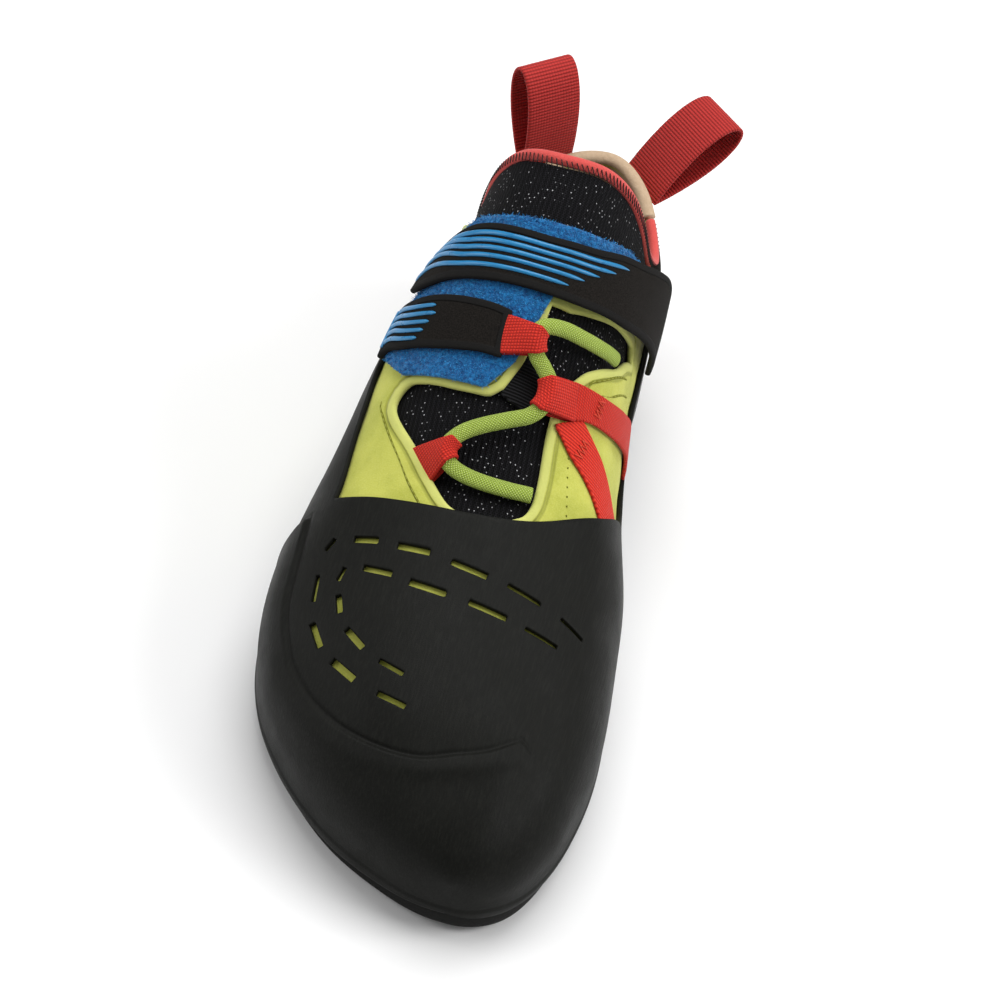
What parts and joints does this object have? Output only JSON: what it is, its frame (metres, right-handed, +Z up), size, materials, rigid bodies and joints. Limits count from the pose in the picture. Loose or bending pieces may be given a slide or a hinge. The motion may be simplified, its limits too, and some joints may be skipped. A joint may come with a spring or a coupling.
{
  "type": "climbing shoe",
  "caption": "Right climbing shoe with rubber toe cap, heel cup and sole, suede upper, mesh tongue, two hook-and-loop straps, short lace and pull loops at the heel.",
  "frame": {"origin": "on the floor under the ball of the foot, on the sole's flat forefoot", "axes": "+Y from toe to heel, +X towards the inner (big toe) side, +Z up"},
  "size_m": [0.1018, 0.2695, 0.1172],
  "materials": {
    "sole_rubber": "matt black rubber",
    "rand_rubber": "satin black rubber with a fine grain",
    "suede": "lime suede with a short nap",
    "stretch_mesh": "black stretch mesh with pale flecks",
    "binding_tape": "coral red stretch tape, zigzag stitched",
    "lining_leather": "beige lining leather",
    "loop_pile": "blue loop pile",
    "strap_microfibre": "black microfibre with moulded blue ribs",
    "webbing": "red woven webbing",
    "elastic": "black elastic tape",
    "lace_cord": "lime braided cord",
    "pull_tape": "red ribbed tape",
    "insole_cloth": "grey insole cloth"
  },
  "bodies": {
    "root": {"outsole": "sole_rubber", "insole": "insole_cloth", "upper": "suede", "tongue": "stretch_mesh", "toe_rand": "rand_rubber", "heel_rand": "rand_rubber", "collar_binding": "binding_tape", "heel_roll": "lining_leather", "loop_patch": "loop_pile", "lower_strap": "strap_microfibre", "upper_strap": "strap_microfibre", "webbing_loop_outer": "webbing", "webbing_loop_strap": "webbing", "webbing_inner": "webbing", "elastic_band": "elastic", "lace": "lace_cord", "pull_loop_outer": "pull_tape", "pull_loop_inner": "pull_tape"}
  },
  "joints": []
}
